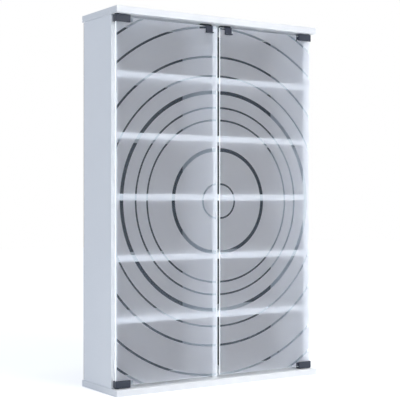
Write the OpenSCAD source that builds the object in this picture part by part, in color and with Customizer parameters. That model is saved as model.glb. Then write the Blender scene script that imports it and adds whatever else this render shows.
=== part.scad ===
// Wall cabinet for music and film discs: two rows of bays behind two satin glass doors
// that turn on pivots at their outer corners. Clear rings in the satin run over both doors.
// Millimetres. The origin is the middle of the footprint, on the floor. X runs across the
// front, Y runs from the front (minus) to the back (plus) and Z is up.

/* [Cabinet] */
// Width of the top and bottom panels
cab_w = 600; // [540:5:680]
// Depth of the top and bottom panels
cab_d = 180; // [165:1:220]
// Full height
cab_h = 920; // [890:5:1000]
// Thickness of every board
board_t = 16; // [15:0.5:18]
// Rounding of the boards' edges
edge_r = 0.8; // [0.3:0.1:1.5]
// Distance of the side boards' outer faces from the ends of the top and bottom panels
side_inset = 3; // [0:0.5:8]
// Gap between the clamps behind the glass and the front edges of the sides
upright_gap = 3.2; // [2.5:0.1:8]
// Distance of the divider's front edge behind those of the sides
divider_setback = 2; // [0:0.1:6]
// Thickness of the fibreboard backs
back_t = 3; // [2.5:0.1:4]
// Play round a fibreboard back
back_play = 1; // [0.5:0.1:2]

/* [Shelves] */
// Shelves in each row
shelf_rows = 5; // [2:1:5]
// Clear height of the lowest bay
low_bay_h = 151; // [130:1:160]
// Play between a shelf and the uprights beside it
shelf_play = 0.5; // [0.3:0.1:1]
// Distance of a shelf's front and back edges inside the divider's edges
shelf_setback = 0.5; // [0.3:0.1:3]
// Diameter of a shelf peg
peg_d = 5; // [4:0.1:6]
// Length of the peg inside the upright
peg_len = 6.5; // [5:0.1:6.8]
// Length of the peg's tongue under the shelf
tongue_len = 9; // [6:0.5:14]
// Width of the tongue
tongue_w = 8; // [6:0.5:12]
// Thickness of the tongue
tongue_t = 2.5; // [1.5:0.1:4]
// Distance between the front and the back pegs
peg_spread = 94; // [70:1:100]
// Height from one peg hole to the next
peg_step = 32; // [20:1:40]

/* [Cam joints] */
// Distance between the two cams at the end of an upright
cam_spread = 80; // [70:1:100]
// Distance between the two dowels at the end of an upright
dowel_spread = 32; // [25:1:45]
// Distance from the end of the upright to the middle of the cam
cam_reach = 34; // [28:1:40]
// Diameter of a cam lock
cam_d = 15; // [12:0.5:18]
// Depth of a cam lock
cam_len = 12; // [10:0.5:12.5]
// Diameter of a cam bolt's thread
bolt_thread_d = 6; // [5:0.1:7]
// Length of a cam bolt's thread
bolt_thread_len = 10; // [8:0.5:11]
// Diameter of a cam bolt's shank and head
bolt_d = 7; // [5:0.1:7.5]
// Diameter of a cam bolt's neck
bolt_neck_d = 4.4; // [3:0.1:4.8]
// Diameter of a dowel
dowel_d = 8; // [6:0.5:9]
// Length of a dowel inside the panel
dowel_in_panel = 10; // [8:0.5:11]
// Length of a dowel inside the upright
dowel_in_upright = 20; // [14:1:26]

/* [Doors] */
// Thickness of the glass
glass_t = 4; // [3.5:0.1:4.5]
// Distance of the doors' front faces behind the front edges of the panels
door_setback = 18; // [14:0.5:20]
// Distance of the outer ends of a door's clamps inside the outer face of the side board
door_inset = 3.1; // [2:0.1:5]
// Gap between the two doors
door_gap = 8; // [4:0.5:12]
// Gap above and below the glass
door_gap_z = 7; // [4:0.1:8]
// Rounding of the corners of the glass
glass_corner_r = 2; // [1:0.5:6]
// Thickness of the satin coat on the front of the glass
satin_t = 0.2; // [0.1:0.05:0.3]
// Bare margin round the satin coat
satin_margin = 0.6; // [0.4:0.1:2]

/* [Rings] */
// Height of the rings' centre above the middle of the doors
ring_rise = 0.3; // [-20:0.1:20]
// Distance of each door's ring centre from the middle of the cabinet
ring_x = 5; // [4:0.1:10]
// Width of a fine ring
fine_w = 4.5; // [2:0.1:6]
// Width of a bold ring
bold_w = 9.4; // [6:0.1:14]
// Width of the three outermost rings
outer_w = 5.4; // [2:0.1:8]
// Radius of the innermost ring, a fine one
ring_1_r = 42.5; // [30:0.5:60]
// Radius of the second ring, a bold one
ring_2_r = 128.5; // [110:0.5:150]
// Radius of the third ring, a fine one
ring_3_r = 202.5; // [190:0.5:212]
// Radius of the fourth ring, a fine one
ring_4_r = 234; // [224:0.5:245]
// Radius of the fifth ring, a bold one
ring_5_r = 272.5; // [260:0.5:285]
// Radius of the sixth ring, a fine one
ring_6_r = 313.5; // [300:0.5:325]
// Radius of the seventh ring, the first of the three outermost
ring_7_r = 361; // [345:0.5:375]
// Radius of the eighth ring
ring_8_r = 434.5; // [420:0.5:445]
// Radius of the ninth ring, which shows only in the corners
ring_9_r = 487; // [475:0.5:500]

/* [Pivot clamps] */
// Length of a clamp along the door
clamp_w = 40; // [32:1:50]
// Height of a clamp
clamp_h = 17.5; // [15:0.5:24]
// Thickness of the jaw in front of the glass
clamp_front_t = 3.5; // [2.5:0.1:4.5]
// Thickness of the jaw behind the glass
clamp_rear_t = 6.2; // [5:0.1:6.6]
// Thickness of the wall that closes a clamp's outer end over the edge of the glass
clamp_end_t = 1.2; // [1:0.1:2]
// Bare strip of glass left beside a clamp's inner end
clamp_clear_w = 7; // [0.5:0.5:10]
// Rounding of the clamp's corners nearest the panel
clamp_top_r = 4; // [1.5:0.5:4]
// Rounding of the clamp's upright edges
clamp_edge_r = 1.6; // [0.5:0.1:1.7]
// Gap between a clamp and the panel
pivot_gap = 1.2; // [1:0.1:2]
// Distance of the pivot line from the outer ends of the clamps
pivot_in = 6.5; // [5:0.1:6.6]
// Diameter of a pivot pin
pin_d = 5; // [3:0.1:5.5]
// Length of a pivot pin inside its bush
pin_in_bush = 9; // [6:0.5:9.5]
// Outer diameter of a pivot bush
bush_d = 9; // [7:0.5:10]
// Length of a pivot bush inside the panel
bush_len = 10; // [10:0.5:12]
// Diameter of a bush's flange
flange_d = 11.5; // [10.5:0.1:13]
// Thickness of a pressure pad
pad_t = 1; // [0.6:0.1:1.4]
// Diameter of a clamp's set screw
set_screw_d = 5; // [4:0.5:6]
// Distance between the two set screws of a clamp
set_screw_spread = 18; // [12:1:22]

/* [Clips and catches] */
// Width of a clip
clip_w = 20.3; // [14:0.1:24]
// Height of a clip below the top edge of the glass
clip_drop = 16.5; // [15:0.5:24]
// Distance of a clip from the door's inner edge
clip_in = 14.6; // [13:0.1:30]
// Thickness of a clip's front leg
clip_front_t = 2; // [1.6:0.1:4]
// Reach of the finger lip in front of a clip
lip_out = 6; // [3:0.5:7]
// Thickness of the finger lip
lip_t = 2; // [1.5:0.1:3]
// Thickness of a clip's rear leg
clip_rear_t = 3.5; // [2.5:0.1:4]
// Thickness of a clip's bridge over the edge of the glass
clip_bridge_t = 1.5; // [0.8:0.1:2]
// Thickness of a strike plate
strike_t = 1.2; // [0.8:0.1:1.6]
// Diameter of a clip screw
clip_screw_d = 3; // [2.5:0.1:4]
// Gap between a strike plate and its magnet
strike_gap = 0.3; // [0.2:0.1:1]
// Width of a catch housing
catch_w = 30; // [28:1:32]
// Depth of a catch housing
catch_d = 13; // [11:0.5:16]
// Height of a catch housing
catch_h = 14; // [11:0.5:16]
// Thickness of a catch magnet, between its pole plates
magnet_w = 6; // [4:0.5:8]
// Height of a catch magnet
magnet_h = 7; // [5:0.5:7.5]
// Thickness of a pole plate
pole_t = 1; // [0.6:0.1:1.2]
// Distance between the two screws of a catch
catch_screw_spread = 20; // [18:0.5:21]

/* [Wall brackets] */
// Distance between the two wall fixings
bracket_spread = 300; // [240:5:360]
// Width of a bracket
bracket_w = 20; // [16:1:30]
// Length of each leg of a bracket
bracket_leg = 18; // [15:1:25]
// Thickness of a bracket
bracket_t = 2; // [1.5:0.1:3]
// Diameter of the wall fixing holes
wall_hole_d = 5.5; // [4:0.1:7]

/* [Fasteners] */
// Diameter of a back nail
nail_d = 1.5; // [1.2:0.1:2]
// Length of a back nail
nail_len = 16; // [12:1:20]
// Back nails along each upright edge
nail_rows = 8; // [4:1:10]
// Diameter of the wood screws
wood_screw_d = 3; // [2.5:0.1:3.5]
// Length of the wood screws inside the top panel
wood_screw_len = 11; // [8:0.5:12]

/* [Hidden] */
$fn = 48;

// Play of a piece that sits fast in a hole or slot, and of a pin that turns in its bush
snug = 0.1;
// Room between a moving piece and a fixed one
running_gap = 0.3;
// How far a cutting tool runs past the face that it opens
past = 1;

// Lines of the cabinet
side_x = cab_w / 2 - side_inset;
side_in_x = side_x - board_t;
ceiling_z = cab_h - board_t;
bay_w = side_in_x - board_t / 2;
upright_xs = [board_t / 2 - side_x, 0, side_x - board_t / 2];

// Shelves: the bays above the lowest share what is left of the height
shelf_step = (ceiling_z - board_t - low_bay_h) / shelf_rows;
function shelf_z(row) = board_t + low_bay_h + (row - 1) * shelf_step;

// Nail lines: the middle of a side board, and either side of the joint on the divider
nail_x_outer = side_x - board_t / 2;
nail_x_inner = board_t / 4;
nail_margin = 60;

// Lines of a door
door_outer_x = side_x - door_inset;
door_inner_x = door_gap / 2;
glass_outer_x = door_outer_x - clamp_end_t - snug;
satin_front_y = door_setback - cab_d / 2;
glass_front_y = satin_front_y + satin_t;
glass_rear_y = glass_front_y + glass_t;
door_low_z = board_t + door_gap_z;
door_top_z = ceiling_z - door_gap_z;
ring_z = (door_low_z + door_top_z) / 2 + ring_rise;
rings = [
  [ring_1_r, fine_w], [ring_2_r, bold_w], [ring_3_r, fine_w], [ring_4_r, fine_w], [ring_5_r, bold_w],
  [ring_6_r, fine_w], [ring_7_r, outer_w], [ring_8_r, outer_w], [ring_9_r, outer_w]
];

// Lines of a pivot clamp at the top of a door
clamp_top_z = ceiling_z - pivot_gap;
clamp_low_z = clamp_top_z - clamp_h;
clamp_front_y = satin_front_y - clamp_front_t;
pad_gap = 0.4;
jaw_rear_y = glass_rear_y + pad_t + pad_gap;
clamp_rear_y = jaw_rear_y + clamp_rear_t;
clamp_low_r = 1;
clamp_face_r = 0.8;
pivot_x = door_outer_x - pivot_in;
pivot_y = (clamp_front_y + clamp_rear_y) / 2;
jaw_mid_z = (clamp_low_z + door_top_z) / 2;
clamp_mid_x = door_outer_x - clamp_w / 2;

// Depth of the uprights, from behind the clamps to the backs
upright_front_y = clamp_rear_y + upright_gap;
upright_rear_y = cab_d / 2 - back_t;
upright_d = upright_rear_y - upright_front_y;
upright_mid_y = (upright_front_y + upright_rear_y) / 2;

// Lines of a clip and its catch
clip_x = door_inner_x + clip_in;
clip_mid_x = clip_x + clip_w / 2;
clip_top_z = door_top_z + clip_bridge_t;
clip_low_z = door_top_z - clip_drop;
clip_front_y = satin_front_y - clip_front_t;
clip_slot_rear_y = glass_rear_y + snug;
clip_rear_y = clip_slot_rear_y + clip_rear_t;
clip_top_r = 2.5;
clip_edge_r = 1;
lip_corner_r = 1.5;
strike_rear_y = clip_rear_y + strike_t;
strike_inset = 0.8;
pole_front_y = strike_rear_y + strike_gap;
pole_proud = 0.3;
catch_front_y = pole_front_y + pole_proud;
catch_low_z = ceiling_z - catch_h;
catch_floor_t = 1;
magnet_z = catch_low_z + catch_floor_t + snug + magnet_h / 2;
magnet_d = 9;

// Heads of the small screws and nails
screw_head_d = 2 * wood_screw_d;
screw_head_h = wood_screw_d / 2;
nail_head_d = 3.6;
nail_head_h = 0.8;
bolt_head_h = 2;
hex_d = 2.5;
hex_depth = 3;

white = [0.94, 0.95, 0.96];
steel = [0.72, 0.73, 0.75];
black = [0.22, 0.23, 0.26];
lacquer = [0.14, 0.16, 0.2];

// A rectangle with rounded corners, its lower left corner at the origin
module round_rect(w, h, r) {
  translate([r, 0]) square([w - 2 * r, h]);
  translate([0, r]) square([w, h - 2 * r]);
  for (x = [r, w - r], y = [r, h - r]) translate([x, y]) circle(r);
}

// A rectangle whose two upper corners have their own radius
module tab_shape(w, h, r_top, r_low) {
  translate([r_low, 0]) square([w - 2 * r_low, h - r_top]);
  translate([0, r_low]) square([w, h - r_top - r_low]);
  translate([r_top, r_low]) square([w - 2 * r_top, h - r_low]);
  for (x = [r_top, w - r_top]) translate([x, h - r_top]) circle(r_top);
  for (x = [r_low, w - r_low]) translate([x, r_low]) circle(r_low);
}

// Extrudes a shape drawn in X and Z backwards, from the plane y = 0
module along_y(depth) {
  translate([0, depth, 0]) rotate([90, 0, 0]) linear_extrude(depth) children();
}

// Extrudes a shape drawn in Y and Z to the right, from the plane x = 0
module along_x(width) {
  rotate([90, 0, 90]) linear_extrude(width) children();
}

// A board whose edges along X are rounded
module board_x(size) {
  along_x(size[0]) round_rect(size[1], size[2], edge_r);
}

// A board whose upright edges are rounded
module board_z(size) {
  linear_extrude(size[2]) round_rect(size[0], size[1], edge_r);
}

// A plate in the plane of the doors, with corners of radius r and eased edges
module pane(size, r, ease) {
  intersection() {
    along_y(size[1]) round_rect(size[0], size[2], r);
    linear_extrude(size[2]) round_rect(size[0], size[1], ease);
    along_x(size[0]) round_rect(size[1], size[2], ease);
  }
}

module flip_x(on) {
  if (on) mirror([1, 0, 0]) children();
  else children();
}

// Turns a shape at the top of a door into the one at its bottom
module flip_z(on) {
  if (on) translate([0, 0, cab_h]) mirror([0, 0, 1]) children();
  else children();
}

// Places its children at both ends of an upright, local +Z running into the upright
module at_ends(x) {
  translate([x, upright_mid_y, board_t]) children();
  translate([x, upright_mid_y, ceiling_z]) rotate([180, 0, 0]) children();
}

module pair_y(spread) {
  for (s = [-0.5, 0.5]) translate([0, s * spread, 0]) children();
}

module pair_x(spread) {
  for (s = [-0.5, 0.5]) translate([s * spread, 0, 0]) children();
}

// A countersunk screw whose head is flush at z = 0 and whose tip points up
module screw_up(d, length) {
  cylinder(d = d, h = length);
  cylinder(d1 = 2 * d, d2 = d, h = d / 2);
}

// The hole for such a screw, open below its head
module screw_bore(d, length) {
  cylinder(d = d + 2 * snug, h = length + snug);
  cylinder(d1 = 2 * (d + snug), d2 = d + 2 * snug, h = d / 2);
  translate([0, 0, -past]) cylinder(d = 2 * (d + snug), h = past);
}

module cross_recess(d, depth) {
  for (a = [0, 90]) rotate([0, 0, a]) translate([-d / 2, -d / 8, -past]) cube([d, d / 4, depth + past]);
}

// Holes that the cam bolts and dowels need in the top and bottom panels
module panel_bores() {
  for (x = upright_xs) at_ends(x) {
    pair_y(cam_spread) translate([0, 0, -bolt_thread_len - snug])
      cylinder(d = bolt_thread_d + 2 * snug, h = bolt_thread_len + snug + past);
    pair_y(dowel_spread) translate([0, 0, -dowel_in_panel - snug])
      cylinder(d = dowel_d + 2 * snug, h = dowel_in_panel + snug + past);
  }
}

// Holes for the four pivot bushes, in both panels
module bush_bores() {
  for (right = [false, true], low = [false, true]) flip_x(right) flip_z(low)
    translate([-pivot_x, pivot_y, ceiling_z - past])
      cylinder(d = bush_d + 2 * snug, h = bush_len + snug + past);
}

module panel(z) {
  translate([-cab_w / 2, -cab_d / 2, z]) intersection() {
    board_x([cab_w, cab_d, board_t]);
    translate([0, cab_d, 0]) rotate([0, 0, -90]) board_x([cab_d, cab_w, board_t]);
  }
}

module top_panel() {
  color(white) difference() {
    panel(ceiling_z);
    panel_bores();
    bush_bores();
    for (right = [false, true]) flip_x(right) {
      catch_screw_places() screw_bore(wood_screw_d, wood_screw_len + catch_h);
      bracket_screw_place() screw_bore(wood_screw_d, wood_screw_len);
    }
  }
}

module bottom_panel() {
  color(white) difference() {
    panel(0);
    panel_bores();
    bush_bores();
  }
}

// Bores at both ends of an upright. The cam pockets open towards +X, or towards -X if face is -1.
module upright_bores(face) {
  at_ends(0) {
    pair_y(cam_spread) {
      translate([0, 0, -past]) cylinder(d = bolt_d + 1, h = past + cam_reach);
      translate([face * board_t / 2, 0, cam_reach]) rotate([0, -90 * face, 0])
        translate([0, 0, -past]) cylinder(d = cam_d + 2 * snug, h = cam_len + snug + past);
    }
    pair_y(dowel_spread) translate([0, 0, -past])
      cylinder(d = dowel_d + 2 * snug, h = dowel_in_upright + snug + past);
  }
}

// Places the front and back pegs of every shelf in the board face at x, which looks to +X or -X
module peg_places(x, face, steps = [0]) {
  for (row = [1:shelf_rows], step = steps)
    translate([x, upright_mid_y, shelf_z(row) + step * peg_step]) pair_y(peg_spread)
      rotate([0, 0, face > 0 ? 0 : 180]) children();
}

// Blind holes for the pegs, with a spare one above and below each
module peg_bores(x, face) {
  peg_places(x, face, [-1, 0, 1]) translate([-peg_len - snug, 0, -peg_d / 2]) rotate([0, 90, 0])
    cylinder(d = peg_d + 2 * snug, h = peg_len + snug + past);
}

// Places the back nails of the upright edge at x
module nail_places(x) {
  nail_step = (ceiling_z - board_t - 2 * nail_margin) / (nail_rows - 1);
  for (i = [0:nail_rows - 1])
    translate([x, cab_d / 2, board_t + nail_margin + i * nail_step]) rotate([90, 0, 0]) children();
}

module nail_bore() {
  cylinder(d = nail_d + 2 * snug, h = nail_len + snug);
  translate([0, 0, -past]) cylinder(d = nail_head_d + 2 * snug, h = nail_head_h + snug + past);
}

module upright(x, face, setback = 0) {
  translate([x, 0, 0]) difference() {
    translate([-board_t / 2, upright_front_y + setback, board_t])
      board_z([board_t, upright_d - setback, ceiling_z - board_t]);
    upright_bores(face);
  }
}

module left_side() {
  color(white) difference() {
    upright(upright_xs[0], 1);
    peg_bores(-side_in_x, 1);
    nail_places(-nail_x_outer) nail_bore();
  }
}

module right_side() {
  color(white) difference() {
    upright(upright_xs[2], -1);
    peg_bores(side_in_x, -1);
    nail_places(nail_x_outer) nail_bore();
  }
}

module centre_divider() {
  color(white) difference() {
    upright(0, -1, divider_setback);
    peg_bores(-board_t / 2, -1);
    peg_bores(board_t / 2, 1);
    for (s = [-1, 1]) nail_places(s * nail_x_inner) nail_bore();
  }
}

module back(right) {
  back_h = ceiling_z - board_t - 2 * back_play;
  flip_x(right) color(lacquer) difference() {
    translate([back_play - side_x, upright_rear_y, board_t + back_play])
      cube([side_x - 1.5 * back_play, back_t, back_h]);
    nail_places(-nail_x_outer) nail_bore();
    nail_places(-nail_x_inner) nail_bore();
    wall_hole_place() cylinder(d = wall_hole_d, h = bracket_t + back_t + past);
  }
}

module shelf(right, row) {
  front_y = upright_front_y + divider_setback + shelf_setback;
  flip_x(right) color(white) translate([shelf_play - side_in_x, front_y, shelf_z(row)])
    board_x([bay_w - 2 * shelf_play, upright_rear_y - shelf_setback - front_y, board_t]);
}

// A peg in the hole, with a flat tongue that carries the shelf
module shelf_peg() {
  translate([-peg_len, 0, -peg_d / 2]) rotate([0, 90, 0]) cylinder(d = peg_d, h = peg_len);
  translate([0, -tongue_w / 2, -tongue_t]) cube([tongue_len, tongue_w, tongue_t]);
}

module shelf_pegs() {
  color(steel) for (right = [false, true]) flip_x(right) {
    peg_places(-side_in_x, 1) shelf_peg();
    peg_places(-board_t / 2, -1) shelf_peg();
  }
}

// Places the cam of each joint, local +Z running from the pocket's mouth into the board
module cam_places() {
  for (i = [0, 1, 2]) {
    face = i == 0 ? 1 : -1;
    at_ends(upright_xs[i]) pair_y(cam_spread)
      translate([face * board_t / 2, 0, cam_reach]) rotate([0, -90 * face, 0]) children();
  }
}

module cam_locks() {
  color(steel) difference() {
    cam_places() cylinder(d = cam_d, h = cam_len);
    cam_places() cross_recess(8, 2.5);
    for (x = upright_xs) at_ends(x) pair_y(cam_spread)
      translate([0, 0, cam_reach - cam_d / 2 - past])
        cylinder(d = bolt_d + 2 * snug, h = past + cam_d / 2 + bolt_head_h);
  }
}

module cam_bolt() {
  translate([0, 0, -bolt_thread_len]) cylinder(d = bolt_thread_d, h = bolt_thread_len);
  cylinder(d = bolt_d, h = cam_reach - cam_d / 2 - snug);
  cylinder(d = bolt_neck_d, h = cam_reach);
  translate([0, 0, cam_reach - bolt_head_h / 2]) cylinder(d = bolt_d, h = bolt_head_h);
}

module cam_bolts() {
  color(steel) for (x = upright_xs) at_ends(x) pair_y(cam_spread) cam_bolt();
}

module dowels() {
  ease = 1;
  length = dowel_in_panel + dowel_in_upright;
  color("burlywood") for (x = upright_xs) at_ends(x) pair_y(dowel_spread) {
    translate([0, 0, ease - dowel_in_panel]) cylinder(d = dowel_d, h = length - 2 * ease);
    translate([0, 0, dowel_in_upright - ease]) cylinder(d1 = dowel_d, d2 = dowel_d - 2 * ease, h = ease);
    translate([0, 0, -dowel_in_panel]) cylinder(d1 = dowel_d - 2 * ease, d2 = dowel_d, h = ease);
  }
}

module back_nails() {
  color(steel) for (x = [-nail_x_outer, -nail_x_inner, nail_x_inner, nail_x_outer]) nail_places(x) {
    cylinder(d = nail_d, h = nail_len);
    cylinder(d = nail_head_d, h = nail_head_h);
  }
}

// A bush for the pivot pin, its flange between the clamp and the panel
module pivot_bush() {
  flange_t = pivot_gap - running_gap;
  translate([-pivot_x, pivot_y, ceiling_z]) difference() {
    union() {
      cylinder(d = bush_d, h = bush_len);
      translate([0, 0, -flange_t]) cylinder(d = flange_d, h = flange_t);
    }
    translate([0, 0, -flange_t - past]) cylinder(d = pin_d + 2 * snug, h = flange_t + bush_len + 2 * past);
  }
}

module pivot_bushes() {
  color([0.3, 0.3, 0.32]) for (right = [false, true], low = [false, true])
    flip_x(right) flip_z(low) pivot_bush();
}

// Places the two screws of the left catch, their heads in the housing's lower face
module catch_screw_places() {
  translate([-clip_mid_x, catch_front_y + catch_d / 2, catch_low_z]) pair_x(catch_screw_spread) children();
}

module catch_housing(right) {
  pocket_w = magnet_w + 2 * pole_t + 2 * snug;
  pocket_h = magnet_h + 2 * snug;
  flip_x(right) color(black) difference() {
    translate([-clip_mid_x - catch_w / 2, catch_front_y, catch_low_z]) intersection() {
      linear_extrude(catch_h) round_rect(catch_w, catch_d, 2);
      along_x(catch_w) round_rect(catch_d, catch_h, 0.6);
    }
    translate([-clip_mid_x - pocket_w / 2, catch_front_y - past, magnet_z - pocket_h / 2])
      cube([pocket_w, magnet_d + snug + past, pocket_h]);
    catch_screw_places() screw_bore(wood_screw_d, catch_h);
  }
}

module catch_magnets() {
  color([0.25, 0.25, 0.27]) for (right = [false, true]) flip_x(right)
    translate([-clip_mid_x - magnet_w / 2, catch_front_y, magnet_z - magnet_h / 2])
      cube([magnet_w, magnet_d, magnet_h]);
}

module pole_plates() {
  color(steel) for (right = [false, true]) flip_x(right)
    translate([-clip_mid_x, pole_front_y, magnet_z - magnet_h / 2]) pair_x(magnet_w + pole_t)
      translate([-pole_t / 2, 0, 0]) cube([pole_t, magnet_d + pole_proud, magnet_h]);
}

module catch_screws() {
  color(steel) for (right = [false, true]) flip_x(right) catch_screw_places() difference() {
    screw_up(wood_screw_d, wood_screw_len + catch_h);
    cross_recess(screw_head_d / 2, screw_head_h);
  }
}

// The wall fixing of the left row, its axis running back from the bracket
module wall_hole_place() {
  translate([-bracket_spread / 2, upright_rear_y - bracket_t, ceiling_z - (bracket_leg + bracket_t) / 2])
    rotate([-90, 0, 0]) children();
}

// The screw that holds the left bracket to the top panel
module bracket_screw_place() {
  translate([-bracket_spread / 2, upright_rear_y - (bracket_leg + bracket_t) / 2, ceiling_z - bracket_t])
    children();
}

module wall_brackets() {
  color(steel) for (right = [false, true]) flip_x(right) difference() {
    translate([-(bracket_spread + bracket_w) / 2, upright_rear_y - bracket_leg, ceiling_z - bracket_leg])
      difference() {
        cube([bracket_w, bracket_leg, bracket_leg]);
        translate([-past, -bracket_t, -bracket_t]) cube([bracket_w + 2 * past, bracket_leg, bracket_leg]);
      }
    wall_hole_place() translate([0, 0, -past]) cylinder(d = wall_hole_d, h = bracket_t + 2 * past);
    bracket_screw_place() screw_bore(wood_screw_d, bracket_t + past);
  }
}

module bracket_screws() {
  color(steel) for (right = [false, true]) flip_x(right) bracket_screw_place() difference() {
    screw_up(wood_screw_d, wood_screw_len);
    cross_recess(screw_head_d / 2, screw_head_h);
  }
}

module door_glass(right) {
  flip_x(right) color([0.72, 0.84, 0.86, 0.5]) translate([-glass_outer_x, glass_front_y, door_low_z])
    pane([glass_outer_x - door_inner_x, glass_t, door_top_z - door_low_z], glass_corner_r, 0.5);
}

// The satin coat, cut through by the clear rings and cut away round the clamps
module satin(right) {
  under_clamp = 1;
  coat_w = glass_outer_x - door_inner_x - 2 * satin_margin;
  coat_h = door_top_z - door_low_z - 2 * satin_margin;
  flip_x(right) color([0.78, 0.82, 0.86]) difference() {
    translate([satin_margin - glass_outer_x, satin_front_y, door_low_z + satin_margin])
      along_y(satin_t) round_rect(coat_w, coat_h, glass_corner_r);
    for (ring = rings) translate([-ring_x, satin_front_y - past, ring_z]) rotate([-90, 0, 0]) difference() {
      cylinder(r = ring[0] + ring[1] / 2, h = satin_t + 2 * past, $fn = 180);
      translate([0, 0, -past]) cylinder(r = ring[0] - ring[1] / 2, h = satin_t + 4 * past, $fn = 180);
    }
    for (low = [false, true]) flip_z(low)
      translate([-door_outer_x, satin_front_y - past, clamp_low_z + under_clamp])
        cube([clamp_w + clamp_clear_w, satin_t + 2 * past, clamp_h]);
  }
}

// Places the two set screws of the top left clamp, local +Z running back
module set_screw_places(y) {
  translate([-clamp_mid_x, y, jaw_mid_z]) pair_x(set_screw_spread) rotate([-90, 0, 0]) children();
}

// The U-shaped clamp that grips a corner of the glass and holds the pivot pin
module clamp(right, low) {
  depth = clamp_rear_y - clamp_front_y;
  flip_x(right) flip_z(low) color(black) difference() {
    translate([-door_outer_x, clamp_front_y, clamp_low_z]) intersection() {
      along_y(depth) tab_shape(clamp_w, clamp_h, clamp_top_r, clamp_low_r);
      linear_extrude(clamp_h) round_rect(clamp_w, depth, clamp_edge_r);
      along_x(clamp_w) round_rect(depth, clamp_h, clamp_face_r);
    }
    translate([clamp_end_t - door_outer_x, satin_front_y, clamp_low_z - past])
      cube([clamp_w + past, jaw_rear_y - satin_front_y, door_top_z + snug - clamp_low_z + past]);
    set_screw_places(jaw_rear_y - past) cylinder(d = set_screw_d + 2 * snug, h = clamp_rear_t + 2 * past);
    translate([-pivot_x, pivot_y, door_top_z + snug]) cylinder(d = pin_d + 2 * snug, h = door_gap_z);
  }
}

module clamp_pads(right) {
  pad_inset = 3;
  pad_z = clamp_low_z + 1;
  flip_x(right) color([0.12, 0.12, 0.13]) for (low = [false, true]) flip_z(low)
    translate([pad_inset - door_outer_x, glass_rear_y, pad_z])
      cube([clamp_w - 2 * pad_inset, pad_t, door_top_z - 1 - pad_z]);
}

module clamp_screws(right) {
  screw_sunk = 0.5;
  flip_x(right) color(steel) for (low = [false, true]) flip_z(low) set_screw_places(glass_rear_y + pad_t)
    difference() {
      cylinder(d = set_screw_d, h = clamp_rear_t + pad_gap - screw_sunk);
      translate([0, 0, clamp_rear_t + pad_gap - screw_sunk - hex_depth])
        cylinder(d = hex_d, h = hex_depth + past, $fn = 6);
    }
}

module pivot_pins(right) {
  ease = 0.6;
  pin_low_z = door_top_z + running_gap;
  straight = ceiling_z + pin_in_bush - ease - pin_low_z;
  flip_x(right) color(steel) for (low = [false, true]) flip_z(low) translate([-pivot_x, pivot_y, pin_low_z]) {
    cylinder(d = pin_d, h = straight);
    translate([0, 0, straight]) cylinder(d1 = pin_d, d2 = pin_d - 2 * ease, h = ease);
  }
}

// Places the screw of the left clip, its head in the strike plate's rear face
module clip_screw_place() {
  translate([-clip_mid_x, strike_rear_y, (clip_low_z + door_top_z) / 2]) rotate([90, 0, 0]) children();
}

// The lip at the foot of a clip, by which a finger draws the door open
module finger_lip() {
  depth = lip_out + clip_front_t;
  translate([-clip_x - clip_w, clip_front_y - lip_out, clip_low_z]) intersection() {
    linear_extrude(lip_t) round_rect(clip_w, depth, lip_corner_r);
    along_x(clip_w) round_rect(depth, lip_t, 0.4 * lip_t);
  }
}

// The U-shaped clip over the top edge of the glass
module clip(right) {
  depth = clip_rear_y - clip_front_y;
  height = clip_top_z - clip_low_z;
  flip_x(right) color(black) difference() {
    union() {
      translate([-clip_x - clip_w, clip_front_y, clip_low_z]) intersection() {
        along_y(depth) round_rect(clip_w, height, clip_edge_r);
        along_x(clip_w) {
          tab_shape(depth, height, clip_top_r, clip_edge_r);
          translate([depth / 2, clip_edge_r]) square([depth / 2, height - clip_edge_r]);
        }
        linear_extrude(height) round_rect(clip_w, depth, clip_edge_r);
      }
      finger_lip();
    }
    translate([-clip_x - clip_w - past, satin_front_y, clip_low_z - past])
      cube([clip_w + 2 * past, clip_slot_rear_y - satin_front_y, door_top_z - clip_low_z + past]);
    clip_screw_place() screw_bore(clip_screw_d, strike_t + clip_rear_t + past);
  }
}

module strike(right) {
  strike_w = clip_w - 2 * strike_inset;
  strike_h = clip_top_z - clip_low_z - 2 * strike_inset;
  flip_x(right) color(steel) difference() {
    translate([-clip_x - clip_w + strike_inset, clip_rear_y, clip_low_z + strike_inset])
      along_y(strike_t) round_rect(strike_w, strike_h, 1);
    clip_screw_place() screw_bore(clip_screw_d, strike_t + past);
  }
}

module clip_screw(right) {
  flip_x(right) color(steel) clip_screw_place() difference() {
    screw_up(clip_screw_d, strike_t + clip_rear_t);
    cross_recess(clip_screw_d, clip_screw_d / 2);
  }
}

top_panel();
bottom_panel();
left_side();
right_side();
centre_divider();
back(false);  // left_back
back(true);  // right_back
for (row = [1:shelf_rows]) shelf(false, row);
for (row = [1:shelf_rows]) shelf(true, row);
shelf_pegs();
cam_locks();
cam_bolts();
dowels();
back_nails();
pivot_bushes();
catch_housing(false);  // catch_left
catch_housing(true);  // catch_right
catch_magnets();
pole_plates();
catch_screws();
wall_brackets();
bracket_screws();
door_glass(false);  // door_glass_left
door_glass(true);  // door_glass_right
satin(false);  // satin_left
satin(true);  // satin_right
clamp(false, false);  // clamp_top_left
clamp(false, true);  // clamp_bottom_left
clamp(true, false);  // clamp_top_right
clamp(true, true);  // clamp_bottom_right
clamp_pads(false);  // clamp_pads_left
clamp_pads(true);  // clamp_pads_right
clamp_screws(false);  // clamp_screws_left
clamp_screws(true);  // clamp_screws_right
pivot_pins(false);  // pivot_pins_left
pivot_pins(true);  // pivot_pins_right
clip(false);  // clip_left
clip(true);  // clip_right
strike(false);  // strike_left
strike(true);  // strike_right
clip_screw(false);  // clip_screw_left
clip_screw(true);  // clip_screw_right
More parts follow.
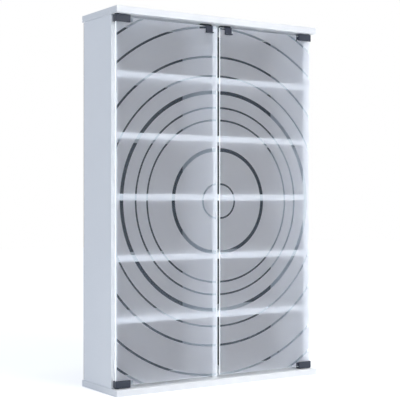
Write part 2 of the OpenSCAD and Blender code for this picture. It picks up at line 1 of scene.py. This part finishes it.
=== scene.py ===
import math
import bpy
import bmesh
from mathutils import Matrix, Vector


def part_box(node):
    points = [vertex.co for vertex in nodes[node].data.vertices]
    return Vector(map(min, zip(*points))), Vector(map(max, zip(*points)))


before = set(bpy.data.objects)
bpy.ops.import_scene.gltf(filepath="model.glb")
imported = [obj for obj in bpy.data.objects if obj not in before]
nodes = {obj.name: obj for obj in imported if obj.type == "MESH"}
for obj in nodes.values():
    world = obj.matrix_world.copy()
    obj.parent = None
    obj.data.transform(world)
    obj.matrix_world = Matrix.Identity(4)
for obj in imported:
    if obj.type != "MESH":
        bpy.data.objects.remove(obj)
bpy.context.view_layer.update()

millimetre = 0.001
white = (1.0, 1.0, 1.0, 1.0)
noiseSpan = (0.3, 0.7)  # nearly all of a noise lies between these
multiply = {"data_type": "RGBA", "blend_type": "MULTIPLY"}  # a Mix node that multiplies colours


def hexColor(code):
    channels = [int(code[i:i + 2], 16) / 255 for i in (0, 2, 4)]
    return (*[c / 12.92 if c <= 0.04045 else ((c + 0.055) / 1.055) ** 2.4 for c in channels], 1.0)


def grey(shade):
    return (shade, shade, shade, 1.0)


def patternScale(size):
    # for a pattern whose features are this many millimetres wide
    return 1000 / size


def addNode(tree, kind, settings=None, links=None):
    # a number stands for a socket whose name the node has more than once
    node = tree.nodes.new("ShaderNode" + kind)
    for key, value in (settings or {}).items():
        if isinstance(key, int) or key in node.inputs:
            node.inputs[key].default_value = value
        else:
            setattr(node, key, value)
    for key, source in (links or {}).items():
        tree.links.new(source, node.inputs[key])
    return node


def newMaterial(name):
    # gives the material, its tree and the piece's own coordinates
    material = bpy.data.materials.new(name)
    material.use_nodes = True
    tree = material.node_tree
    tree.nodes.clear()
    return material, tree, addNode(tree, "TexCoord").outputs["Object"]


def finish(tree, shader):
    addNode(tree, "OutputMaterial", links={"Surface": shader.outputs[0]})


def dress(names, material):
    for name in names:
        mesh = nodes[name].data
        mesh.materials.clear()
        mesh.materials.append(material)


def bothDoors(*stems):
    return [stem + side for stem in stems for side in ("_left", "_right")]


# camera, solved from the outer corners of the boards
camera = {
    "place": (-1.4582, -2.2371, 0.4589),
    "turn": math.radians(-32.93),  # to the right of the front's normal
    "tilt": 0.0016,  # radians, a hair upwards
    "lens": 93.49,
    "sensor": 36.0,
}
cameraData = bpy.data.cameras.new("camera")
cameraData.lens = camera["lens"]
cameraData.sensor_width = camera["sensor"]
cameraObject = bpy.data.objects.new("camera", cameraData)
bpy.context.scene.collection.objects.link(cameraObject)
cameraObject.location = camera["place"]
cameraObject.rotation_euler = (math.pi / 2 + camera["tilt"], 0, camera["turn"])
bpy.context.scene.camera = cameraObject
bpy.context.scene.view_settings.view_transform = "Standard"
print("camera set")


# boards: particle board faced with melamine paper, pressed between fine-textured plates.
# The eye gets an even pale sheet with a soft sheen, and a hairline where an edge band meets
# the face
board = {
    "color": "eff1f4",
    "cloud": (0.985, 1.0),  # the paper's colour wavers by a percent or two
    "cloudSize": 90,  # mm
    "cloudDetail": 3.0,
    "pearl": 0.55,  # mm, the plates' fine texture
    "pearlDetail": 2.0,
    "pearlDepth": 0.012,  # mm
    "pearlStrength": 0.6,
    "roughness": (0.34, 0.44),
    "ior": 1.5,
    "bandThickness": 0.8,  # mm, edge band of ABS
    "seamWidth": 0.16,  # mm
    "seamShade": 0.72,
    "endPaintedShade": 0.93,  # painted shade: the bands across the panels' ends are darkened a little, standing in for the duller light on the end faces
}


def melamine(name, front, back=None, end=None):
    # front, back and end are the outer faces of the edge bands, in metres from the middle of
    # the cabinet
    material, tree, place = newMaterial(name)
    thickness = board["bandThickness"] * millimetre
    cloud = addNode(tree, "TexNoise", {
        "Scale": patternScale(board["cloudSize"]), "Detail": board["cloudDetail"]}, {
        "Vector": place})
    pearl = addNode(tree, "TexNoise", {
        "Scale": patternScale(board["pearl"]), "Detail": board["pearlDetail"]}, {"Vector": place})
    axes = addNode(tree, "SeparateXYZ", links={"Vector": place})
    wavering = addNode(tree, "MapRange", {
        "From Min": noiseSpan[0], "From Max": noiseSpan[1],
        "To Min": board["cloud"][0], "To Max": board["cloud"][1]}, {
        "Value": cloud.outputs["Fac"]})
    tone = addNode(tree, "Mix", {**multiply, 0: 1.0, 6: hexColor(board["color"])}, {
        7: wavering.outputs["Result"]})
    # distance to the nearest banded edge
    nearest = addNode(tree, "Math", {"operation": "SUBTRACT", 1: front}, {0: axes.outputs["Y"]})
    if back is not None:
        rear = addNode(tree, "Math", {"operation": "SUBTRACT", 0: back}, {1: axes.outputs["Y"]})
        nearest = addNode(tree, "Math", {"operation": "MINIMUM"}, {
            0: nearest.outputs[0], 1: rear.outputs[0]})
    if end is not None:
        across = addNode(tree, "Math", {"operation": "ABSOLUTE"}, {0: axes.outputs["X"]})
        inward = addNode(tree, "Math", {"operation": "SUBTRACT", 0: end}, {1: across.outputs[0]})
        nearest = addNode(tree, "Math", {"operation": "MINIMUM"}, {
            0: nearest.outputs[0], 1: inward.outputs[0]})
        # painted shade: the end bands are darkened, for the duller light that falls on the ends
        paintedShadeBand = addNode(tree, "Math", {"operation": "LESS_THAN", 1: thickness}, {
            0: inward.outputs[0]})
        tone = addNode(tree, "Mix", {**multiply, 7: grey(board["endPaintedShade"])}, {
            0: paintedShadeBand.outputs[0], 6: tone.outputs[2]})
    offset = addNode(tree, "Math", {"operation": "SUBTRACT", 1: thickness}, {0: nearest.outputs[0]})
    gap = addNode(tree, "Math", {"operation": "ABSOLUTE"}, {0: offset.outputs[0]})
    seam = addNode(tree, "MapRange", {
        "From Min": 0.0, "From Max": board["seamWidth"] * millimetre,
        "To Min": 1.0, "To Max": 0.0}, {
        "Value": gap.outputs[0]})
    seamed = addNode(tree, "Mix", {**multiply, 7: grey(board["seamShade"])}, {
        0: seam.outputs["Result"], 6: tone.outputs[2]})
    gloss = addNode(tree, "MapRange", {
        "To Min": board["roughness"][0], "To Max": board["roughness"][1]}, {
        "Value": pearl.outputs["Fac"]})
    bump = addNode(tree, "Bump", {
        "Strength": board["pearlStrength"], "Distance": board["pearlDepth"] * millimetre}, {
        "Height": pearl.outputs["Fac"]})
    finish(tree, addNode(tree, "BsdfPrincipled", {"IOR": board["ior"]}, {
        "Base Color": seamed.outputs[2], "Roughness": gloss.outputs["Result"],
        "Normal": bump.outputs["Normal"]}))
    return material


panelLow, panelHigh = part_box("top_panel")
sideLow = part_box("left_side")[0]
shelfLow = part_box("shelf_left_1")[0]
dress(["top_panel", "bottom_panel"],
      melamine("melamine faced panel", panelLow.y, panelHigh.y, panelHigh.x))
dress(["left_side", "right_side", "centre_divider"], melamine("melamine faced upright", sideLow.y))
dress([name for name in nodes if name.startswith("shelf_") and name != "shelf_pegs"],
      melamine("melamine faced shelf", shelfLow.y))
print("boards dressed")


# backs: wet-process hardboard, lacquered inside and raw outside. The inner lacquer's dark colour is
# painted shade, standing in for the dim inside of the cabinet, so the eye gets a flat dark ground
# behind the glass, and from behind a brown board with flecks and felted fibres
back = {
    # painted shade: the inner face is lacquered dark to stand in for the dim inside of the cabinet
    "lacquer": "1c212d",
    "lacquerGrain": 0.12,  # how much of the fibres the lacquer lets through
    "raw": "8a7763",
    "rawDark": "5f4e3d",
    "fibre": 1.6,  # mm
    "fibreDetail": 5.0,
    "fibreCurl": 1.2,
    "fibreShare": 0.6,
    "leastFibre": 0.05,
    "fleck": 9.0,  # mm
    "fleckDetail": 8.0,
    "fleckRaggedness": 0.7,
    "fleckShare": 0.9,
    "depth": 0.05,  # mm
    "depthStrength": 0.5,
    "roughness": (0.9, 0.5),  # raw, lacquered
    "ior": 1.5,
    "skin": 0.2,  # mm, how far the lacquer goes round the edges
}


def hardboard(name, innerFace):
    material, tree, place = newMaterial(name)
    fibre = addNode(tree, "TexNoise", {
        "Scale": patternScale(back["fibre"]), "Detail": back["fibreDetail"],
        "Distortion": back["fibreCurl"]}, {"Vector": place})
    fleck = addNode(tree, "TexNoise", {
        "Scale": patternScale(back["fleck"]), "Detail": back["fleckDetail"],
        "Roughness": back["fleckRaggedness"]}, {"Vector": place})
    fibres = addNode(tree, "Math", {
        "operation": "MULTIPLY_ADD", 1: back["fibreShare"], 2: back["leastFibre"]}, {
        0: fibre.outputs["Fac"]})
    flecks = addNode(tree, "Math", {"operation": "MULTIPLY_ADD", 1: back["fleckShare"]}, {
        0: fleck.outputs["Fac"], 2: fibres.outputs[0]})
    raw = addNode(tree, "Mix", {
        "data_type": "RGBA", 6: hexColor(back["rawDark"]), 7: hexColor(back["raw"])}, {
        0: flecks.outputs[0]})
    axes = addNode(tree, "SeparateXYZ", links={"Vector": place})
    inner = addNode(tree, "Math", {
        "operation": "LESS_THAN", 1: innerFace + back["skin"] * millimetre}, {0: axes.outputs["Y"]})
    # painted shade: the dark lacquer on the inner face
    lacquer = addNode(tree, "Mix", {
        **multiply, 0: back["lacquerGrain"], 6: hexColor(back["lacquer"])}, {
        7: fibre.outputs["Fac"]})
    color = addNode(tree, "Mix", {"data_type": "RGBA"}, {
        0: inner.outputs[0], 6: raw.outputs[2], 7: lacquer.outputs[2]})
    gloss = addNode(tree, "Mix", {
        "data_type": "FLOAT", 2: back["roughness"][0], 3: back["roughness"][1]}, {
        0: inner.outputs[0]})
    bump = addNode(tree, "Bump", {
        "Strength": back["depthStrength"], "Distance": back["depth"] * millimetre}, {
        "Height": fibre.outputs["Fac"]})
    finish(tree, addNode(tree, "BsdfPrincipled", {"IOR": back["ior"]}, {
        "Base Color": color.outputs[2], "Roughness": gloss.outputs[0],
        "Normal": bump.outputs["Normal"]}))
    return material


dress(["left_back", "right_back"], hardboard("lacquered hardboard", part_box("left_back")[0].y))
print("backs dressed")


# doors: clear float glass with a frosted coat on its front, cut through by clear rings.
# The eye gets a milky, faintly blue haze that blurs what is behind, crisp dark rings and
# bright ground edges; the upright edges carry a painted glow, and the panes a painted, dimmed
# reflection
door = {
    "coat": "f8f9ff",
    "cloud": (0.97, 1.0),  # the haze is a little uneven
    "cloudSize": 60,  # mm
    "cloudDetail": 2.0,
    "through": 0.69,  # share of the light that the coat lets through, spread
    "spread": 0.84,
    "coatIor": 1.15,  # low, so that the thin coat blurs what is behind without bending it
    "shadowTint": "f3f5f8",  # lamps shine through the coat, a little dimmed
    "grain": 0.35,  # mm, the frost's grain, drawn coarser than the real one so that it shows
    "grainDetail": 2.0,
    "grainDepth": 0.01,  # mm
    "grainStrength": 0.15,
    "clearTint": "fafcfd",
    "ior": 1.5,
    "paintedRoomTint": "bccadc",  # painted reflection: the panes' mirror is dimmed and blued, standing in for a room in front of the doors that is duller and bluer than the backdrop
    "mirrorRoughness": 0.02,
    "edge": "eef3f6",
    "edgeRoughness": 0.3,
    "edgeClear": 0.35,
    "edgePaintedGlow": 0.72,  # painted glow: the upright ground edges emit light, standing in for light that the frost sends into the pane and that leaves at its edges
    "edgeSkin": 0.05,  # mm, kept clear of the faces
    "edgeGrain": 0.4,  # mm, the grinding wheel's grit, drawn coarse as well
    "edgeDetail": 2.0,
    "edgeDepth": 0.02,  # mm
    "edgeStrength": 0.3,
}


def frostedCoat(name, low, high):
    material, tree, place = newMaterial(name)
    grain = addNode(tree, "TexNoise", {
        "Scale": patternScale(door["grain"]), "Detail": door["grainDetail"]}, {"Vector": place})
    cloud = addNode(tree, "TexNoise", {
        "Scale": patternScale(door["cloudSize"]), "Detail": door["cloudDetail"]}, {"Vector": place})
    haze = addNode(tree, "MapRange", {
        "From Min": noiseSpan[0], "From Max": noiseSpan[1],
        "To Min": door["cloud"][0], "To Max": door["cloud"][1]}, {
        "Value": cloud.outputs["Fac"]})
    tone = addNode(tree, "Mix", {**multiply, 0: 1.0, 6: hexColor(door["coat"])}, {
        7: haze.outputs["Result"]})
    bump = addNode(tree, "Bump", {
        "Strength": door["grainStrength"], "Distance": door["grainDepth"] * millimetre}, {
        "Height": grain.outputs["Fac"]})
    frost = addNode(tree, "BsdfPrincipled", {
        "Transmission Weight": door["through"], "Roughness": door["spread"],
        "IOR": door["coatIor"]}, {
        "Base Color": tone.outputs[2], "Normal": bump.outputs["Normal"]})
    passing = addNode(tree, "BsdfTransparent", {"Color": hexColor(door["shadowTint"])})
    rays = addNode(tree, "LightPath")
    front = addNode(tree, "MixShader", links={
        0: rays.outputs["Is Shadow Ray"], 1: frost.outputs[0], 2: passing.outputs[0]})
    # the coat's rear face is one with the glass
    axes = addNode(tree, "SeparateXYZ", links={"Vector": place})
    rear = addNode(tree, "Math", {"operation": "GREATER_THAN", 1: (low.y + high.y) / 2}, {
        0: axes.outputs["Y"]})
    joined = addNode(tree, "BsdfTransparent", {"Color": white})
    finish(tree, addNode(tree, "MixShader", links={
        0: rear.outputs[0], 1: front.outputs[0], 2: joined.outputs[0]}))
    return material


def floatGlass(name, low, high):
    material, tree, place = newMaterial(name)
    clear = addNode(tree, "BsdfTransparent", {"Color": hexColor(door["clearTint"])})
    # painted reflection: the mirror's colour is dimmed and blued
    mirror = addNode(tree, "BsdfGlossy", {
        "Roughness": door["mirrorRoughness"], "Color": hexColor(door["paintedRoomTint"])})
    # light crosses the pane unbent, so its faces mirror as much from inside as from outside
    outside = addNode(tree, "Fresnel", {"IOR": door["ior"]})
    inside = addNode(tree, "Fresnel", {"IOR": 1 / door["ior"]})
    side = addNode(tree, "NewGeometry")
    shine = addNode(tree, "Mix", {"data_type": "FLOAT"}, {
        0: side.outputs["Backfacing"], 2: outside.outputs[0], 3: inside.outputs[0]})
    face = addNode(tree, "MixShader", links={
        0: shine.outputs[0], 1: clear.outputs[0], 2: mirror.outputs[0]})
    grit = addNode(tree, "TexNoise", {
        "Scale": patternScale(door["edgeGrain"]), "Detail": door["edgeDetail"]}, {"Vector": place})
    bump = addNode(tree, "Bump", {
        "Strength": door["edgeStrength"], "Distance": door["edgeDepth"] * millimetre}, {
        "Height": grit.outputs["Fac"]})
    # the ground edge lies between the two faces, and only the upright ones get the painted glow
    axes = addNode(tree, "SeparateXYZ", links={"Vector": place})
    middle = (low + high) / 2
    half = (high - low) / 2
    inset = door["edgeSkin"] * millimetre
    offset = addNode(tree, "Math", {"operation": "SUBTRACT", 1: middle.y}, {0: axes.outputs["Y"]})
    away = addNode(tree, "Math", {"operation": "ABSOLUTE"}, {0: offset.outputs[0]})
    between = addNode(tree, "Math", {"operation": "LESS_THAN", 1: half.y - inset}, {
        0: away.outputs[0]})
    rise = addNode(tree, "Math", {"operation": "SUBTRACT", 1: middle.z}, {0: axes.outputs["Z"]})
    height = addNode(tree, "Math", {"operation": "ABSOLUTE"}, {0: rise.outputs[0]})
    upright = addNode(tree, "Math", {"operation": "LESS_THAN", 1: half.z - inset}, {
        0: height.outputs[0]})
    # painted glow: emission on the upright edges
    paintedGlow = addNode(tree, "Math", {"operation": "MULTIPLY", 1: door["edgePaintedGlow"]}, {
        0: upright.outputs[0]})
    ground = addNode(tree, "BsdfPrincipled", {
        "Base Color": hexColor(door["edge"]), "Roughness": door["edgeRoughness"],
        "IOR": door["ior"], "Transmission Weight": door["edgeClear"],
        "Emission Color": hexColor(door["edge"])}, {
        "Emission Strength": paintedGlow.outputs[0], "Normal": bump.outputs["Normal"]})
    rays = addNode(tree, "LightPath")
    edge = addNode(tree, "MixShader", links={
        0: rays.outputs["Is Shadow Ray"], 1: ground.outputs[0], 2: clear.outputs[0]})
    finish(tree, addNode(tree, "MixShader", links={
        0: between.outputs[0], 1: face.outputs[0], 2: edge.outputs[0]}))
    return material


dress(bothDoors("satin"), frostedCoat("frosted coat", *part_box("satin_left")))
dress(bothDoors("door_glass"),
      floatGlass("float glass with ground edges", *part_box("door_glass_left")))
print("doors dressed")


# plastics: colour, roughness, and the grain and depth in mm that the mould leaves. The grain
# is drawn coarser than the real one, or it wouldn't show
plastics = {
    # clamps: near black with a bluish cast, and a dull sheen broken by a fine grain
    "moulded glass-filled nylon": {"color": "2a3241", "roughness": 0.5, "grain": 0.5, "depth": 0.01,
                                   "pieces": bothDoors("clamp_top", "clamp_bottom")},
    # clips: the same nylon and cast as the clamps, darkened as painted shade for the shade under
    # the top panel's overhang, and smoother from the fingers
    "moulded nylon with painted shade": {"color": "18233a", "roughness": 0.46, "grain": 0.5, "depth": 0.008,
                            "pieces": bothDoors("clip")},
    # pads between clamp and glass: dead black, no sheen
    "moulded rubber": {"color": "141414", "roughness": 0.75, "grain": 0.8, "depth": 0.02,
                       "pieces": bothDoors("clamp_pads")},
    # bushes that the pins turn in: slippery, with a clear highlight
    "moulded oil-filled nylon": {"color": "2a2b2d", "roughness": 0.3, "grain": 0.6, "depth": 0.005,
                                 "pieces": ["pivot_bushes"]},
    # housings of the catches: dark and half matt, lost in the shade under the top panel
    "moulded ABS": {"color": "20242c", "roughness": 0.42, "grain": 0.5, "depth": 0.008,
                    "pieces": ["catch_left", "catch_right"]},
    # magnets: grey-black and stony, with a pitted face
    "pressed ferrite": {"color": "2b2b2e", "roughness": 0.6, "grain": 0.3, "depth": 0.02,
                        "pieces": ["catch_magnets"]},
}
plasticSkin = {
    "cloudSize": 7,  # mm, flow marks of the moulding
    "cloudDetail": 2.0,
    "shade": (0.88, 1.1),
    "spread": 0.06,  # how far the roughness varies
    "depthStrength": 0.5,
    "ior": 1.5,
}


def mouldedPlastic(name, sizes):
    material, tree, place = newMaterial(name)
    grain = addNode(tree, "TexVoronoi", {
        "Scale": patternScale(sizes["grain"]), "feature": "SMOOTH_F1"}, {"Vector": place})
    cloud = addNode(tree, "TexNoise", {
        "Scale": patternScale(plasticSkin["cloudSize"]), "Detail": plasticSkin["cloudDetail"]}, {
        "Vector": place})
    shade = addNode(tree, "MapRange", {
        "To Min": plasticSkin["shade"][0], "To Max": plasticSkin["shade"][1]}, {
        "Value": cloud.outputs["Fac"]})
    tone = addNode(tree, "Mix", {**multiply, 0: 1.0, 6: hexColor(sizes["color"])}, {
        7: shade.outputs["Result"]})
    gloss = addNode(tree, "MapRange", {
        "To Min": sizes["roughness"] - plasticSkin["spread"],
        "To Max": sizes["roughness"] + plasticSkin["spread"]}, {
        "Value": grain.outputs["Distance"]})
    bump = addNode(tree, "Bump", {
        "Strength": plasticSkin["depthStrength"], "Distance": sizes["depth"] * millimetre}, {
        "Height": grain.outputs["Distance"]})
    finish(tree, addNode(tree, "BsdfPrincipled", {"IOR": plasticSkin["ior"]}, {
        "Base Color": tone.outputs[2], "Roughness": gloss.outputs["Result"],
        "Normal": bump.outputs["Normal"]}))
    return material


for name, sizes in plastics.items():
    dress(sizes["pieces"], mouldedPlastic(name, sizes))

# metals: colour, roughness, and the size in mm of the skin's mottle
metals = {
    # screws, pins, pegs and plates: bright bluish silver with a faint mottle
    "zinc plated steel": {"color": "c6c9ce", "roughness": 0.3, "mottle": 2.5,
                          "pieces": bothDoors("clamp_screws", "pivot_pins", "strike", "clip_screw")
                          + ["shelf_pegs", "cam_bolts", "back_nails", "pole_plates", "catch_screws",
                             "wall_brackets", "bracket_screws"]},
    # cam locks: greyer, and dull from the die
    "zinc die casting": {"color": "a4a6aa", "roughness": 0.5, "mottle": 1.2,
                         "pieces": ["cam_locks"]},
}
metalSkin = {
    "detail": 4.0,
    "shade": (0.85, 1.08),
    "spread": (-0.08, 0.1),  # how far the roughness varies
}


def zincSkin(name, sizes):
    material, tree, place = newMaterial(name)
    mottle = addNode(tree, "TexNoise", {
        "Scale": patternScale(sizes["mottle"]), "Detail": metalSkin["detail"]}, {"Vector": place})
    shade = addNode(tree, "MapRange", {
        "To Min": metalSkin["shade"][0], "To Max": metalSkin["shade"][1]}, {
        "Value": mottle.outputs["Fac"]})
    tone = addNode(tree, "Mix", {**multiply, 0: 1.0, 6: hexColor(sizes["color"])}, {
        7: shade.outputs["Result"]})
    gloss = addNode(tree, "MapRange", {
        "To Min": sizes["roughness"] + metalSkin["spread"][0],
        "To Max": sizes["roughness"] + metalSkin["spread"][1]}, {
        "Value": mottle.outputs["Fac"]})
    finish(tree, addNode(tree, "BsdfPrincipled", {"Metallic": 1.0}, {
        "Base Color": tone.outputs[2], "Roughness": gloss.outputs["Result"]}))
    return material


for name, sizes in metals.items():
    dress(sizes["pieces"], zincSkin(name, sizes))

# dowels: turned beech, a warm pale wood with fine grain along the dowel
dowel = {
    "light": "dcbc92",
    "dark": "b98f63",
    "grain": 0.8,  # mm across the dowel
    "grainDetail": 4.0,
    "along": 0.08,  # the pattern's scale along the dowel, against that across it
    "depth": 0.05,  # mm
    "depthStrength": 0.4,
    "roughness": 0.7,
}


def beech(name):
    material, tree, place = newMaterial(name)
    along = addNode(tree, "Mapping", {"Scale": (1.0, 1.0, dowel["along"])}, {"Vector": place})
    grain = addNode(tree, "TexNoise", {
        "Scale": patternScale(dowel["grain"]), "Detail": dowel["grainDetail"]}, {
        "Vector": along.outputs[0]})
    tone = addNode(tree, "Mix", {
        "data_type": "RGBA", 6: hexColor(dowel["dark"]), 7: hexColor(dowel["light"])}, {
        0: grain.outputs["Fac"]})
    bump = addNode(tree, "Bump", {
        "Strength": dowel["depthStrength"], "Distance": dowel["depth"] * millimetre}, {
        "Height": grain.outputs["Fac"]})
    finish(tree, addNode(tree, "BsdfPrincipled", {"Roughness": dowel["roughness"]}, {
        "Base Color": tone.outputs[2], "Normal": bump.outputs["Normal"]}))
    return material


dress(["dowels"], beech("turned beech"))
print("small parts dressed")


# studio: pale floor, white surround, a soft key from the front and blueish room light
studio = {
    "room": "c2cad6",  # what the object is lit by from all sides
    "roomStrength": 1.03,
    "floor": "f4f5f6",
    "floorSize": 14.0,
    "floorGlow": 0.5,
    "backdropStrength": 1.0,
    "firstBounce": 0.5,  # a ray below this diffuse depth has met no matt surface
}
lamps = {
    # no wider, so that the panes don't mirror it into the camera
    "key": {"place": (0.9, -4.1, 2.2), "aim": (0, 0, 0.5), "size": 1.8, "power": 43.5,
            "spread": 180, "color": "fff8ec"},
    # hangs over the floor in front, which throws its light up under the top panel
    "floor lamp": {"place": (0.2, -1.45, 2.8), "aim": (0.2, -1.45, 0), "size": 1.0, "power": 15.0,
                   "spread": 52, "color": "fffaf2"},
    # hangs close in front of the doors and lights what faces up
    "overhead": {"place": (0.05, -0.55, 2.6), "aim": (0.05, -0.5, 0), "size": 0.6, "power": 1.0,
                 "spread": 40, "color": "fffaf2"},
}


def seenRays(tree):
    # one for what the camera sees, straight or by way of metal and glass, and nought for what
    # lights the object
    rays = addNode(tree, "LightPath")
    straight = addNode(tree, "Math", {"operation": "MAXIMUM"}, {
        0: rays.outputs["Is Camera Ray"], 1: rays.outputs["Is Glossy Ray"]})
    either = addNode(tree, "Math", {"operation": "MAXIMUM"}, {
        0: straight.outputs[0], 1: rays.outputs["Is Transmission Ray"]})
    direct = addNode(tree, "Math", {"operation": "LESS_THAN", 1: studio["firstBounce"]}, {
        0: rays.outputs["Diffuse Depth"]})
    return addNode(tree, "Math", {"operation": "MULTIPLY"}, {
        0: either.outputs[0], 1: direct.outputs[0]})


world = bpy.data.worlds.new("studio")
bpy.context.scene.world = world
world.use_nodes = True
worldTree = world.node_tree
worldTree.nodes.clear()
roomLight = addNode(worldTree, "Background", {
    "Color": hexColor(studio["room"]), "Strength": studio["roomStrength"]})
backdrop = addNode(worldTree, "Background", {
    "Color": white, "Strength": studio["backdropStrength"]})
surround = addNode(worldTree, "MixShader", links={
    0: seenRays(worldTree).outputs[0], 1: roomLight.outputs[0], 2: backdrop.outputs[0]})
addNode(worldTree, "OutputWorld", links={"Surface": surround.outputs[0]})

floorShape = bmesh.new()
bmesh.ops.create_grid(floorShape, x_segments=1, y_segments=1, size=studio["floorSize"] / 2)
floorMesh = bpy.data.meshes.new("floor")
floorShape.to_mesh(floorMesh)
floorShape.free()
floor = bpy.data.objects.new("floor", floorMesh)
bpy.context.scene.collection.objects.link(floor)
floorMaterial, floorTree = newMaterial("pale studio floor")[:2]
floorGlow = addNode(floorTree, "Math", {"operation": "MULTIPLY", 1: studio["floorGlow"]}, {
    0: seenRays(floorTree).outputs[0]})
floorBase = addNode(floorTree, "BsdfDiffuse", {"Color": hexColor(studio["floor"])})
floorLight = addNode(floorTree, "Emission", {"Color": white}, {"Strength": floorGlow.outputs[0]})
finish(floorTree, addNode(floorTree, "AddShader", links={
    0: floorBase.outputs[0], 1: floorLight.outputs[0]}))
floorMesh.materials.append(floorMaterial)

for name, sizes in lamps.items():
    lampData = bpy.data.lights.new(name, "AREA")
    lampData.size = sizes["size"]
    lampData.energy = sizes["power"]
    lampData.spread = math.radians(sizes["spread"])
    lampData.color = hexColor(sizes["color"])[:3]
    lamp = bpy.data.objects.new(name, lampData)
    bpy.context.scene.collection.objects.link(lamp)
    lamp.location = sizes["place"]
    lampView = Vector(sizes["aim"]) - lamp.location
    lamp.rotation_euler = lampView.to_track_quat("-Z", "Y").to_euler()
print("studio lit")
